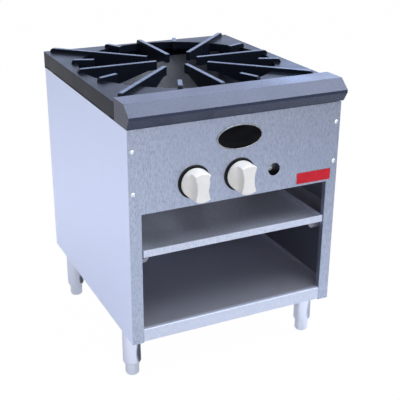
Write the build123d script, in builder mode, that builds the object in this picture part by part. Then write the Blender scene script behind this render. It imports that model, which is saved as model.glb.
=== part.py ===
from build123d import *
import os
from math import cos, radians, sin, sqrt

# Stock pot range: one heavy burner under a lift-off cast grate, on an open-front stand.
# Millimetres. +Z is up, +Y runs from the front to the back, +X is the right-hand side.
# Most sizes along Y are given as a depth behind the front face of the control panel.

os.makedirs("parts", exist_ok=True)

# ---------------------------------------------------------------- driving dimensions
# Body
body_width = 457.2            # 18 in across the side panels
body_bottom = 107.0           # legs lift the body this far off the floor
body_top = 552.4              # top of the sheet-metal body
control_panel_height = 167.5
sheet = 1.2                   # 18 gauge stainless sheet
fit_gap = 0.3                 # between pieces that lie against each other
running_clearance = 0.06      # radial, between a turning or sliding piece and its bore
hem = 12.0                    # depth of the returned edges round the front opening
flange = 15.0                 # folded flanges of the body sheets
back_flange = 8.0             # top flange of the back panel
leg_flange = 40.0             # bottom flange of the side panels, over the legs

# Front panel
stile_width = 24.0            # upright at each side of the front opening
rail_flange = 46.0            # top flange that carries the front rail
sight_hole_radius = 13.2
sight_hole_x = 79.0
sight_hole_drop = 2.5         # below the knobs

# Screws
screw_radius = 2.0            # sheet-metal screws
screw_head_radius = 3.4
dome_radius = 4.6             # heads of the control panel's screws
dome_height = 2.6
dome_taper = 30.0             # degrees
screw_length = 8.0
panel_screw_inset = 9.0       # from the side of the body
panel_screw_margin = 42.2     # from the upper and the lower edge of the control panel
back_screw_inset = 8.0
back_screw_margin = 52.7      # from the upper and the lower edge of the back panel

# Cabinet floor
floor_rise = 29.8             # top of the floor above the underside of the body
floor_lip_rise = 2.5
floor_upturn = 9.0

# Top casting
grate_overhang = 2.3          # past each side panel
plate_gap = 1.0               # between the front rail and the plate
plate_rise = 37.6             # top of the plate above the body
plate_thickness = 8.0
plate_setback = 4.0           # of its rear edge, from the back panel
ring_side_margin = 20.9       # plate beside the round opening
ring_front_margin = 21.6
ring_rear_margin = 13.5       # to the face of the back panel
skirt_gap = 2.6               # between the skirt and the body
rear_skirt_gap = 0.6
skirt_thickness = 6.0
ring_lip = 17.0               # depth of the lip round the opening
ring_lip_thickness = 5.0
finger_rise = 8.0             # of the finger tops above the plate
finger_width = 9.0
finger_end = 19.0             # height of a finger's inner end
finger_flat = 20.0            # level run under a finger's inner end
web_slope = 0.315             # fall of the finger's lower edge, outwards
straight_finger_radius = 48.0
diagonal_finger_radius = 70.0
short_finger_length = 33.0    # inside the opening
straight_finger_overlap = 12.0   # run of a finger over the plate
diagonal_finger_overlap = 88.0
rear_finger_overlap = 94.0    # of the two diagonal fingers at the rear
short_finger_overlap = 15.0
lug_length = 30.0
lug_width = 13.0
lug_margin = 45.0             # centre of a lug, from the edge of the plate
rib_thickness = 2.5           # locating ribs, inside the flanges of the side panels
rib_gap = 0.6
rib_depth = 4.0               # below the top of the body
rib_setback = 8.0             # from the front and the rear of the plate

# Front rail
rail_rise = 8.7               # above the plate
rail_back = 57.9
rail_brow = 7.7               # depth where the flat top turns down
rail_nose = -15.5
rail_nose_drop = 19.5         # from the top to the nose
rail_nose_height = 5.7
rail_foot = -4.1
rail_gap = 2.4                # between the rail and the body
rail_wall = 4.0
rail_boss_radius = 8.0
rail_boss_inset = 78.6        # from the side of the body
rail_boss_depth = 30.0
rail_bolt_radius = 3.0
rail_bolt_length = 20.0
rail_bolt_head = 4.2

# Legs and feet
leg_radius = 19.05            # 1 1/2 in tube
leg_wall = 1.6
leg_inset = 21.0              # leg axis from the side of the body
leg_front = 63.6              # depth of the front legs
leg_rear_setback = 74.2       # of the rear legs, from the back panel
leg_end = 26.0                # height of the tube's lower end
leg_cone = 6.0                # height of its drawn-in end
leg_lip = 1.0                 # wall at the mouth of the drawn-in end
leg_cap = 3.0
stud_radius = 6.35
stud_length = 16.0
foot_flats = 25.4             # 1 in across the flats
foot_body = 45.0
foot_chamfer = 2.5
foot_play = 0.8               # between the foot and the mouth of the tube
foot_stem_radius = 6.25
foot_travel = 6.0             # room above the stem
foot_insert_rise = 29.0       # above the tube's lower end
foot_insert_height = 12.0
gusset_size = 54.0
gusset_thickness = 3.0
nut_radius = 10.8             # across the corners
nut_height = 8.0

# Drip tray and its runners
tray_drop = 90.2              # underside of the tray below the control panel
tray_side_gap = 2.6           # between the tray and the stiles
tray_wall_height = 14.6
tray_setback = 24.0           # of its rear end, from the back panel
runner_shelf = 21.6           # inner edge of a runner from the stile
runner_front = 22.0
runner_upturn = 32.0
runner_tab = 20.0
runner_tab_corner = 6.0

# Controls
knob_spacing = 97.5           # the left valve is this far left of the right one
right_knob_x = 1.5
control_rise = 48.6           # knobs above the lower edge of the control panel
knob_radius = 29.5
knob_length = 36.5
knob_rim = 4.0                # thickness of the round base at its edge
knob_shoulder = 20.0          # ridge where the base turns up into the grip bar: from the axis
knob_shoulder_length = 16.0   # and in front of the knob's back
knob_waist = 11.2             # half the bar's width at its narrowest
knob_waist_length = 27.5
knob_bar_half_width = 12.3
knob_edge_radius = 1.5
knob_gap = 1.0
bezel_radius = 35.5
bezel_thickness = 2.5
bezel_taper = 20.0            # degrees
stem_radius = 4.0
stem_flat = 1.2
stem_hole_radius = 6.5
stem_rear = 30.0              # depth of the stem's inner end
stem_in_knob = 18.0

# Gas line
pipe_radius = 13.35           # 3/4 in iron pipe
pipe_wall = 2.9
manifold_depth = 40.0
manifold_drop = 33.5          # below the knobs
manifold_end_inset = 58.6     # capped end, from the side of the body
supply_inset = 38.6           # supply pipe, from the side of the body
inlet_reach = 25.0            # pipe end behind the back panel
inlet_thread_radius = 13.0
inlet_thread_length = 19.0
pipe_hole_gap = 1.0
elbow_bend = 22.0
cap_radius = 17.4             # across the corners
cap_length = 13.4
boss_radius = 11.0
boss_height = 3.0             # above the pipe
strap_left_gap = 20.0         # from the capped end
strap_right_gap = 40.0        # from the elbow
strap_width = 12.0
strap_thickness = 2.0
bonnet_front = 14.0
bonnet_radius = 8.0
valve_radius = 12.0
valve_front = 24.0
valve_rear = 58.0
valve_foot_radius = 8.0
hood_base = 66.0
hood_hex = 8.0
hood_hex_radius = 9.4
hood_radius = 7.5
hood_tip_chamfer = 2.5
hood_tip_gap = 3.0            # in front of the mixer
hood_clearance = 1.0

# Burner
mixer_radius = 19.0
mixer_wall = 3.5
mixer_front = 98.0            # depth of the mixer's front wall
mixer_bell_radius = 25.0
mixer_bell_length = 18.0
mixer_boss_radius = 11.0
mixer_boss_length = 5.0
mixer_bend = 22.0             # centre-line radius of the turn up into the ring
mixer_rise = 10.0             # the tube's end above the underside of the ring
shutter_thickness = 1.5
shutter_radius = 25.5
shutter_tab = 8.0
window_radius = 17.5
window_width = 8.0
window_arc = 34.0             # degrees
window_count = 3
ring_rise = 36.5              # underside of the rings above the mixing tubes
ring_height = 25.0
outer_ring_radius = 115.0
middle_ring_radius = 78.0
inner_ring_radius = 38.0
ring_width = 21.0
ring_crown = 6.0              # height of the bevelled crown
ring_wall = 4.0
spoke_width = 14.0
port_width = 2.0
port_length = 8.0
outer_port_count = 36
middle_port_count = 24
inner_port_count = 12
support_gap = 34.0            # front burner support behind the bells
support_drop = 29.5           # its underside below the mixing tubes
support_height = 36.0
support_thickness = 2.5
support_flange = 20.0
rear_support_width = 24.0
tongue_width = 24.0           # carries the inner ring
tongue_start = 25.5           # behind the burner centre

# Pilot
pilot_tube_radius = 3.175
pilot_drop = 3.0              # adjusting screw below the sight hole
pilot_body_left = 8.0         # block: left, right, above and below the adjusting screw
pilot_body_right = 20.0
pilot_body_up = 14.0
pilot_body_down = 5.0
pilot_body_front = 17.0
pilot_body_rear = 46.0
pilot_foot_radius = 5.0
pilot_ring_gap = 13.0         # pilot burner in front of the outer ring
pilot_tip_drop = 3.0          # its top below the top of the ring
pilot_tip_rise = 8.0          # its underside above the underside of the ring
pilot_burner_radius = 4.8
pilot_cap_radius = 7.0
pilot_cap_taper = 15.0        # degrees
pilot_bend = 8.0
pilot_climb_front = 45.0      # the tube climbs over the front support: start and end in front of it
pilot_climb_end = 22.0
pilot_screw_radius = 2.5
pilot_screw_length = 12.0
pilot_screw_head = 4.2
bracket_width = 14.0
bracket_drop = 7.0            # shelf below the pilot burner

# Badges
badge_width = 99.0
badge_height = 51.0
badge_drop = 42.4             # centre below the top of the body
badge_thickness = 2.0
badge_rim = 2.5
strip_width = 81.0
strip_height = 25.0
strip_inset = 15.6            # from the side of the body
strip_rise = 16.6             # centre above the lower edge of the control panel
strip_thickness = 1.0
strip_corner = 2.0

# ---------------------------------------------------------------- derived values
half_width = body_width / 2
opening_half = half_width - stile_width
inner_half = half_width - sheet
grate_width = body_width + 2 * grate_overhang
opening_top = body_top - control_panel_height
floor_top = body_bottom + floor_rise
floor_lip_bottom = body_bottom + floor_lip_rise

plate_top = body_top + plate_rise
finger_top = plate_top + finger_rise
plate_front = rail_back + plate_gap
ring_radius = grate_width / 2 - ring_side_margin
ring_depth = plate_front + ring_front_margin + ring_radius
body_depth = ring_depth + ring_radius + ring_rear_margin
plate_rear = body_depth - plate_setback
skirt_bottom = body_top + skirt_gap

rail_top = plate_top + rail_rise
rail_nose_top = rail_top - rail_nose_drop
rail_nose_bottom = rail_nose_top - rail_nose_height
rail_bottom = body_top + rail_gap
rail_boss_x = half_width - rail_boss_inset

leg_x = half_width - leg_inset
leg_rear = body_depth - leg_rear_setback
leg_positions = {
    "front_left": (-leg_x, leg_front),
    "front_right": (leg_x, leg_front),
    "rear_left": (-leg_x, leg_rear),
    "rear_right": (leg_x, leg_rear),
}
foot_stem_top = body_bottom - leg_cap - foot_travel
foot_insert_bottom = leg_end + foot_insert_rise

tray_half_width = opening_half - tray_side_gap
tray_bottom = opening_top - tray_drop
tray_length = body_depth - tray_setback
runner_inner = opening_half - runner_shelf
runner_outer = inner_half - fit_gap
runner_bottom = tray_bottom - fit_gap - sheet

knob_positions = {"left": right_knob_x - knob_spacing, "right": right_knob_x}
control_height = opening_top + control_rise
control_reach = bezel_thickness + knob_gap + knob_length
sight_hole_height = control_height - sight_hole_drop
pilot_height = sight_hole_height - pilot_drop
panel_screw_heights = (opening_top + panel_screw_margin, body_top - panel_screw_margin)
back_screw_heights = (
    body_bottom + back_screw_margin,
    (body_bottom + body_top) / 2,
    body_top - back_screw_margin,
)

manifold_height = control_height - manifold_drop
manifold_left = manifold_end_inset - half_width
supply_x = half_width - supply_inset
manifold_right = supply_x - elbow_bend
supply_start = manifold_depth + elbow_bend
boss_top = manifold_height + pipe_radius + boss_height
strap_positions = (manifold_left + strap_left_gap, manifold_right - strap_right_gap)
hood_tip = mixer_front - hood_tip_gap

bell_rear = mixer_front + mixer_bell_length
ring_bottom = control_height + ring_rise
ring_top = ring_bottom + ring_height
outer_ring_edge = outer_ring_radius + ring_width / 2
support_depth = bell_rear + support_gap
support_bottom = control_height - support_drop
support_half = inner_half - fit_gap
rear_support_depth = ring_depth + outer_ring_edge - ring_width
rear_support_top = ring_bottom - fit_gap
tongue_front = ring_depth + tongue_start

pilot_tip_depth = ring_depth - sqrt(outer_ring_edge**2 - sight_hole_x**2) - pilot_ring_gap
pilot_tip_height = ring_top - pilot_tip_drop
pilot_tip_bottom = ring_bottom + pilot_tip_rise
pilot_run_height = pilot_tip_bottom - 2 * pilot_bend
bracket_top = pilot_tip_bottom - bracket_drop

badge_centre_height = body_top - badge_drop
strip_x = half_width - strip_inset - strip_width / 2
strip_centre_height = opening_top + strip_rise

# the whole range, knobs to gas inlet, is centred on the Y axis
y_front = -(body_depth + inlet_reach - control_reach) / 2


def plan(height):
    """Horizontal plane; local axes are X and depth."""
    return Plane(origin=(0, y_front, height), x_dir=(1, 0, 0), z_dir=(0, 0, 1))


def upright(depth):
    """Plane that faces the front; local axes are X and height. Extruding by less than 0 goes back."""
    return Plane(origin=(0, y_front + depth, 0), x_dir=(1, 0, 0), z_dir=(0, -1, 0))


def section(x):
    """Plane that faces the right; local axes are depth and height."""
    return Plane(origin=(x, y_front, 0), x_dir=(0, 1, 0), z_dir=(1, 0, 0))


# ---------------------------------------------------------------- body sheets
with BuildPart() as front_panel:
    with BuildSketch(upright(0)):
        with Locations((0, (body_bottom + body_top) / 2)):
            Rectangle(body_width, body_top - body_bottom)
        with Locations((0, (body_bottom + opening_top) / 2)):
            Rectangle(2 * opening_half, opening_top - body_bottom, mode=Mode.SUBTRACT)
        for x in knob_positions.values():
            with Locations((x, control_height)):
                Circle(stem_hole_radius, mode=Mode.SUBTRACT)
        with Locations((sight_hole_x, sight_hole_height)):
            Circle(sight_hole_radius, mode=Mode.SUBTRACT)
        for side in (-1, 1):
            for height in panel_screw_heights:
                with Locations((side * (half_width - panel_screw_inset), height)):
                    Circle(screw_radius + fit_gap, mode=Mode.SUBTRACT)
    extrude(amount=-sheet)
    # returned edges down the stiles and along the lower edge of the control panel
    for side in (-1, 1):
        with BuildSketch(plan(body_bottom)):
            with Locations((side * (opening_half + sheet / 2), hem / 2)):
                Rectangle(sheet, hem)
        extrude(amount=opening_top - body_bottom + sheet)
    with BuildSketch(plan(opening_top)):
        with Locations((0, hem / 2)):
            Rectangle(2 * opening_half, hem)
    extrude(amount=sheet)
    # top flange that the front rail is bolted to
    with BuildSketch(plan(body_top - sheet)):
        with Locations((0, rail_flange / 2)):
            Rectangle(2 * (half_width - flange - fit_gap), rail_flange)
        with Locations((-rail_boss_x, rail_boss_depth), (rail_boss_x, rail_boss_depth)):
            Circle(rail_bolt_radius + fit_gap, mode=Mode.SUBTRACT)
    extrude(amount=sheet)
front_panel.part.label = "front_panel"
export_step(front_panel.part, "parts/front_panel.step")

with BuildPart() as side_panel_left:
    # wall with a flange behind the stile and one behind the back panel
    with BuildSketch(plan(body_bottom)):
        with BuildLine():
            Polyline(
                (-half_width + flange, sheet),
                (-half_width, sheet),
                (-half_width, body_depth - sheet),
                (-half_width + flange, body_depth - sheet),
            )
            offset(amount=sheet, side=Side.RIGHT)
        make_face()
    extrude(amount=body_top - body_bottom)
    # top flange under the casting
    with BuildSketch(plan(body_top - sheet)):
        with Locations((-half_width + flange / 2, body_depth / 2)):
            Rectangle(flange, body_depth - 2 * sheet)
    extrude(amount=sheet)
    # bottom flange over the legs, behind the returned edge of the stile
    leg_flange_front = hem + fit_gap
    with BuildSketch(plan(body_bottom)):
        with Locations((-half_width + leg_flange / 2, (leg_flange_front + body_depth - sheet) / 2)):
            Rectangle(leg_flange, body_depth - sheet - leg_flange_front)
    extrude(amount=sheet)
    with BuildSketch(plan(body_bottom)):
        with Locations((-leg_x, leg_front), (-leg_x, leg_rear)):
            Circle(stud_radius + fit_gap)
    extrude(amount=sheet, mode=Mode.SUBTRACT)
    with BuildSketch(upright(sheet)):
        for height in panel_screw_heights:
            with Locations((-half_width + panel_screw_inset, height)):
                Circle(screw_radius + fit_gap)
    extrude(amount=-sheet, mode=Mode.SUBTRACT)
    with BuildSketch(upright(body_depth - 2 * sheet)):
        for height in back_screw_heights:
            with Locations((-half_width + back_screw_inset, height)):
                Circle(screw_radius + fit_gap)
    extrude(amount=-sheet, mode=Mode.SUBTRACT)
side_panel_left.part.label = "side_panel_left"
export_step(side_panel_left.part, "parts/side_panel_left.step")

with BuildPart() as side_panel_right:
    mirror(side_panel_left.part, about=Plane.YZ)
side_panel_right.part.label = "side_panel_right"
export_step(side_panel_right.part, "parts/side_panel_right.step")

with BuildPart() as back_panel:
    with BuildSketch(upright(body_depth - sheet)):
        with Locations((0, (body_bottom + body_top) / 2)):
            Rectangle(body_width, body_top - body_bottom)
        with Locations((supply_x, manifold_height)):
            Circle(pipe_radius + pipe_hole_gap, mode=Mode.SUBTRACT)
        for side in (-1, 1):
            for height in back_screw_heights:
                with Locations((side * (half_width - back_screw_inset), height)):
                    Circle(screw_radius + fit_gap, mode=Mode.SUBTRACT)
    extrude(amount=-sheet)
    with BuildSketch(plan(body_top - sheet)):
        with Locations((0, body_depth - back_flange / 2)):
            Rectangle(2 * (half_width - flange - fit_gap), back_flange)
    extrude(amount=sheet)
back_panel.part.label = "back_panel"
export_step(back_panel.part, "parts/back_panel.step")

with BuildPart() as cabinet_floor:
    floor_rear = body_depth - 2 * sheet - fit_gap
    floor_side = inner_half - fit_gap
    with BuildSketch(plan(floor_top - sheet)):
        with Locations((0, (hem + floor_rear + fit_gap) / 2)):
            Rectangle(2 * floor_side, floor_rear - hem - fit_gap)
        with Locations((0, (hem + fit_gap) / 2)):
            Rectangle(2 * (opening_half - fit_gap), hem + fit_gap)
    extrude(amount=sheet)
    # front lip, folded down between the stiles and back under itself
    with BuildSketch(section(-opening_half + fit_gap)):
        with BuildLine():
            Polyline(
                (hem, floor_top),
                (0, floor_top),
                (0, floor_lip_bottom),
                (hem, floor_lip_bottom),
            )
            offset(amount=sheet, side=Side.LEFT)
        make_face()
    extrude(amount=2 * (opening_half - fit_gap))
    # sides turned up against the side panels
    for side in (-1, 1):
        with BuildSketch(plan(floor_top - sheet)):
            with Locations((side * (floor_side - sheet / 2), (hem + floor_rear + fit_gap) / 2)):
                Rectangle(sheet, floor_rear - hem - fit_gap)
        extrude(amount=floor_upturn + sheet)
cabinet_floor.part.label = "cabinet_floor"
export_step(cabinet_floor.part, "parts/cabinet_floor.step")

# ---------------------------------------------------------------- cast top
plate_middle = (plate_front + plate_rear) / 2
plate_length = plate_rear - plate_front
web_outer = ring_radius + ring_lip_thickness / 2
rib_x = half_width - flange - rib_gap - rib_thickness / 2


def finger(angle, inner, overlap):
    """One finger: a web that deepens towards the ring, and a rounded bar on the plate."""
    reach = ring_radius + overlap
    direction = (cos(radians(angle)), sin(radians(angle)), 0)
    across = (sin(radians(angle)), -cos(radians(angle)), 0)
    centre = (0, y_front + ring_depth, 0)
    web_bottom = finger_top - finger_end - web_slope * max(web_outer - inner - finger_flat, 0)
    with BuildSketch(Plane(origin=centre, x_dir=direction, z_dir=across)) as profile:
        with BuildLine():
            Polyline(
                (reach - finger_rise, finger_top),
                (inner, finger_top),
                (inner, finger_top - finger_end),
                (inner + finger_flat, finger_top - finger_end),
                (web_outer, web_bottom),
                (web_outer, plate_top - plate_thickness),
                (reach, plate_top - plate_thickness),
                (reach, plate_top),
            )
            CenterArc((reach - finger_rise, plate_top), finger_rise, 0, 90)
        make_face()
    extrude(profile.sketch, amount=finger_width / 2, both=True)


with BuildPart() as top_grate:
    with BuildSketch(plan(plate_top - plate_thickness)):
        with Locations((0, plate_middle)):
            Rectangle(grate_width, plate_length)
    extrude(amount=plate_thickness)
    # skirt on the left, the back and the right
    with BuildSketch(plan(skirt_bottom)):
        with BuildLine():
            Polyline(
                (-grate_width / 2, plate_front),
                (-grate_width / 2, plate_rear),
                (grate_width / 2, plate_rear),
                (grate_width / 2, plate_front),
            )
            offset(amount=skirt_thickness, side=Side.RIGHT)
        make_face()
    extrude(amount=plate_top - skirt_bottom)
    # the rear of the skirt comes down nearly to the body
    with BuildSketch(plan(body_top + rear_skirt_gap)):
        with Locations((0, plate_rear - skirt_thickness / 2)):
            Rectangle(grate_width, skirt_thickness)
    extrude(amount=skirt_gap)
    for side in (-1, 1):
        # lugs that sit on the side panels
        with BuildSketch(plan(body_top)):
            for depth in (plate_front + lug_margin, plate_rear - lug_margin):
                with Locations((side * (half_width - lug_width / 2), depth)):
                    Rectangle(lug_width, lug_length)
        extrude(amount=plate_rise - plate_thickness / 2)
        # rib that keeps the casting from sliding sideways
        with BuildSketch(plan(body_top - rib_depth)):
            with Locations((side * rib_x, plate_middle)):
                Rectangle(rib_thickness, plate_length - 2 * rib_setback)
        extrude(amount=rib_depth + plate_rise - plate_thickness / 2)
    # lip round the opening
    with BuildSketch(plan(plate_top - ring_lip)):
        with Locations((0, ring_depth)):
            Circle(ring_radius + ring_lip_thickness)
    extrude(amount=ring_lip)
    with BuildSketch(plan(body_top)):
        with Locations((0, ring_depth)):
            Circle(ring_radius)
    extrude(amount=plate_rise, mode=Mode.SUBTRACT)
    for quarter in range(4):
        finger(90 * quarter, straight_finger_radius, straight_finger_overlap)
        diagonal_overlap = rear_finger_overlap if quarter < 2 else diagonal_finger_overlap
        finger(90 * quarter + 45, diagonal_finger_radius, diagonal_overlap)
    for eighth in range(8):
        finger(45 * eighth + 22.5, ring_radius - short_finger_length, short_finger_overlap)
top_grate.part.label = "top_grate"
export_step(top_grate.part, "parts/top_grate.step")

with BuildPart() as front_rail:
    with BuildSketch(section(-grate_width / 2)):
        with BuildLine():
            Polyline(
                (rail_back, rail_bottom),
                (rail_back, rail_top),
                (rail_brow, rail_top),
                (rail_nose, rail_nose_top),
                (rail_nose, rail_nose_bottom),
                (rail_foot, rail_bottom),
                close=True,
            )
        make_face()
    extrude(amount=grate_width)
    # hollow from below, closed at both ends
    with BuildSketch(section(-grate_width / 2 + rail_wall)):
        with BuildLine():
            Polyline(
                (rail_back - rail_wall, rail_bottom),
                (rail_back - rail_wall, rail_top - rail_wall),
                (rail_brow + rail_wall / 2, rail_top - rail_wall),
                (rail_nose + rail_wall, rail_nose_top - rail_wall / 2),
                (rail_nose + rail_wall, rail_nose_bottom),
                (rail_foot + rail_wall, rail_bottom),
                close=True,
            )
        make_face()
    extrude(amount=grate_width - 2 * rail_wall, mode=Mode.SUBTRACT)
    with BuildSketch(plan(body_top)):
        with Locations((-rail_boss_x, rail_boss_depth), (rail_boss_x, rail_boss_depth)):
            Circle(rail_boss_radius)
    extrude(amount=rail_top - body_top - rail_wall / 2)
    with BuildSketch(plan(body_top)):
        with Locations((-rail_boss_x, rail_boss_depth), (rail_boss_x, rail_boss_depth)):
            Circle(rail_bolt_radius + running_clearance)
    extrude(amount=rail_bolt_length, mode=Mode.SUBTRACT)
front_rail.part.label = "front_rail"
export_step(front_rail.part, "parts/front_rail.step")

with BuildPart() as rail_bolts:
    with BuildSketch(plan(body_top - sheet)):
        with Locations((-rail_boss_x, rail_boss_depth), (rail_boss_x, rail_boss_depth)):
            RegularPolygon(2 * rail_bolt_radius, 6)
    extrude(amount=-rail_bolt_head)
    with BuildSketch(plan(body_top - sheet)):
        with Locations((-rail_boss_x, rail_boss_depth), (rail_boss_x, rail_boss_depth)):
            Circle(rail_bolt_radius)
    extrude(amount=rail_bolt_length)
rail_bolts.part.label = "rail_bolts"
export_step(rail_bolts.part, "parts/rail_bolts.step")

# ---------------------------------------------------------------- legs and feet
leg_bore = leg_radius - leg_wall
foot_radius = foot_flats / sqrt(3)
leg_mouth = foot_radius + foot_play
for corner, (x, depth) in leg_positions.items():
    axis = Axis((x, y_front + depth, 0), (0, 0, 1))
    profile_plane = Plane(origin=(x, y_front + depth, 0), x_dir=(1, 0, 0), z_dir=(0, -1, 0))
    with BuildPart() as leg:
        with BuildSketch(profile_plane):
            with BuildLine():
                Polyline(
                    (leg_mouth, leg_end),
                    (leg_mouth + leg_lip, leg_end),
                    (leg_radius, leg_end + leg_cone),
                    (leg_radius, body_bottom),
                    (stud_radius, body_bottom),
                    (stud_radius, body_bottom + stud_length),
                    (0, body_bottom + stud_length),
                    (0, body_bottom - leg_cap),
                    (leg_bore, body_bottom - leg_cap),
                    (leg_bore, foot_insert_bottom + foot_insert_height),
                    (foot_stem_radius + running_clearance, foot_insert_bottom + foot_insert_height),
                    (foot_stem_radius + running_clearance, foot_insert_bottom),
                    (leg_bore, foot_insert_bottom),
                    (leg_bore, leg_end + leg_cone),
                    close=True,
                )
            make_face()
        revolve(axis=axis)
    leg.part.label = f"leg_{corner}"
    export_step(leg.part, f"parts/leg_{corner}.step")

    with BuildPart() as foot:
        with BuildSketch(plan(0)):
            with Locations((x, depth)):
                RegularPolygon(foot_radius, 6, rotation=30)
        extrude(amount=foot_body)
        # corners turned off at the lower and the upper end
        with BuildSketch(profile_plane):
            with BuildLine():
                Polyline(
                    (0, 0),
                    (foot_radius - foot_chamfer, 0),
                    (foot_radius, foot_chamfer),
                    (foot_radius, foot_body - foot_chamfer / 2),
                    (foot_radius - foot_chamfer, foot_body),
                    (0, foot_body),
                    close=True,
                )
            make_face()
        revolve(axis=axis, mode=Mode.INTERSECT)
        with BuildSketch(plan(foot_body)):
            with Locations((x, depth)):
                Circle(foot_stem_radius)
        extrude(amount=foot_stem_top - foot_body)
    foot.part.label = f"foot_{corner}"
    export_step(foot.part, f"parts/foot_{corner}.step")

gusset_bottom = body_bottom + sheet
gusset_x = inner_half - fit_gap - gusset_size / 2
with BuildPart() as leg_gussets:
    with BuildSketch(plan(gusset_bottom)):
        for x, depth in leg_positions.values():
            side = 1 if x > 0 else -1
            with Locations((side * gusset_x, depth)):
                Rectangle(gusset_size, gusset_size)
            with Locations((x, depth)):
                Circle(stud_radius + fit_gap, mode=Mode.SUBTRACT)
    extrude(amount=gusset_thickness)
leg_gussets.part.label = "leg_gussets"
export_step(leg_gussets.part, "parts/leg_gussets.step")

with BuildPart() as leg_nuts:
    with BuildSketch(plan(gusset_bottom + gusset_thickness)):
        for x, depth in leg_positions.values():
            with Locations((x, depth)):
                RegularPolygon(nut_radius, 6)
                Circle(stud_radius + running_clearance, mode=Mode.SUBTRACT)
    extrude(amount=nut_height)
leg_nuts.part.label = "leg_nuts"
export_step(leg_nuts.part, "parts/leg_nuts.step")

# ---------------------------------------------------------------- drip tray
with BuildPart() as drip_tray:
    with BuildSketch(plan(tray_bottom)):
        with Locations((0, tray_length / 2)):
            Rectangle(2 * tray_half_width, tray_length)
    extrude(amount=tray_wall_height)
    with BuildSketch(plan(tray_bottom + sheet)):
        with Locations((0, tray_length / 2)):
            Rectangle(2 * (tray_half_width - sheet), tray_length - 2 * sheet)
    extrude(amount=tray_wall_height, mode=Mode.SUBTRACT)
drip_tray.part.label = "drip_tray"
export_step(drip_tray.part, "parts/drip_tray.step")

with BuildPart() as tray_runner_left:
    with BuildSketch(upright(runner_front)):
        with BuildLine():
            Polyline(
                (-runner_inner, runner_bottom),
                (-runner_outer, runner_bottom),
                (-runner_outer, runner_bottom + runner_upturn),
            )
            offset(amount=sheet, side=Side.RIGHT)
        make_face()
    extrude(amount=-(body_depth - 2 * sheet - fit_gap - runner_front))
    # front end turned down, with a spot-weld dimple
    with BuildSketch(upright(runner_front)):
        with BuildLine():
            Polyline(
                (-runner_inner, runner_bottom + sheet),
                (-runner_inner, runner_bottom - runner_tab + runner_tab_corner),
                (-runner_inner - runner_tab_corner, runner_bottom - runner_tab),
                (-runner_outer, runner_bottom - runner_tab),
                (-runner_outer, runner_bottom + sheet),
                close=True,
            )
        make_face()
        with Locations((-runner_inner - runner_tab / 2, runner_bottom - runner_tab / 2)):
            Circle(screw_radius, mode=Mode.SUBTRACT)
    extrude(amount=-sheet)
tray_runner_left.part.label = "tray_runner_left"
export_step(tray_runner_left.part, "parts/tray_runner_left.step")

with BuildPart() as tray_runner_right:
    mirror(tray_runner_left.part, about=Plane.YZ)
tray_runner_right.part.label = "tray_runner_right"
export_step(tray_runner_right.part, "parts/tray_runner_right.step")

# ---------------------------------------------------------------- gas line
with BuildPart() as manifold_pipe:
    with BuildSketch(section(manifold_left)):
        with Locations((manifold_depth, manifold_height)):
            Circle(pipe_radius)
    extrude(amount=manifold_right - manifold_left)
    # a boss under each valve
    with BuildSketch(plan(manifold_height)):
        for x in (*knob_positions.values(), sight_hole_x):
            with Locations((x, manifold_depth)):
                Circle(boss_radius)
    extrude(amount=pipe_radius + boss_height)
    with BuildSketch(section(manifold_left)):
        with Locations((manifold_depth, manifold_height)):
            Circle(pipe_radius - pipe_wall)
    extrude(amount=manifold_right - manifold_left, mode=Mode.SUBTRACT)
manifold_pipe.part.label = "manifold_pipe"
export_step(manifold_pipe.part, "parts/manifold_pipe.step")

with BuildPart() as manifold_cap:
    with BuildSketch(section(manifold_left)):
        with Locations((manifold_depth, manifold_height)):
            RegularPolygon(cap_radius, 8)
    extrude(amount=-cap_length)
manifold_cap.part.label = "manifold_cap"
export_step(manifold_cap.part, "parts/manifold_cap.step")

with BuildPart() as pipe_elbow:
    with BuildSketch(section(manifold_right)):
        with Locations((manifold_depth, manifold_height)):
            Circle(pipe_radius + pipe_wall)
            Circle(pipe_radius - pipe_wall, mode=Mode.SUBTRACT)
    turn_centre = (manifold_right, y_front + manifold_depth + elbow_bend, manifold_height)
    revolve(axis=Axis(turn_centre, (0, 0, 1)), revolution_arc=90)
pipe_elbow.part.label = "pipe_elbow"
export_step(pipe_elbow.part, "parts/pipe_elbow.step")

supply_length = body_depth + inlet_reach - supply_start
with BuildPart() as supply_pipe:
    with BuildSketch(upright(supply_start)):
        with Locations((supply_x, manifold_height)):
            Circle(pipe_radius)
    extrude(amount=inlet_thread_length - supply_length)
    # thread run at the inlet
    with BuildSketch(upright(supply_start)):
        with Locations((supply_x, manifold_height)):
            Circle(inlet_thread_radius)
    extrude(amount=-supply_length)
    with BuildSketch(upright(supply_start)):
        with Locations((supply_x, manifold_height)):
            Circle(pipe_radius - pipe_wall)
    extrude(amount=-supply_length, mode=Mode.SUBTRACT)
supply_pipe.part.label = "supply_pipe"
export_step(supply_pipe.part, "parts/supply_pipe.step")

with BuildPart() as pipe_straps:
    for x in strap_positions:
        with BuildSketch(section(x)):
            with Locations((manifold_depth, manifold_height)):
                Circle(pipe_radius + fit_gap + strap_thickness)
            with BuildLine():
                strap_top = manifold_height + pipe_radius + fit_gap + strap_thickness
                Polyline(
                    (manifold_depth, strap_top),
                    (sheet + strap_thickness, strap_top),
                    (sheet + strap_thickness, strap_top + strap_width),
                    (sheet, strap_top + strap_width),
                    (sheet, strap_top - strap_thickness),
                    (manifold_depth, strap_top - strap_thickness),
                    close=True,
                )
            make_face()
            with Locations((manifold_depth, manifold_height)):
                Circle(pipe_radius + fit_gap, mode=Mode.SUBTRACT)
        extrude(amount=strap_width)
pipe_straps.part.label = "pipe_straps"
export_step(pipe_straps.part, "parts/pipe_straps.step")

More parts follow.
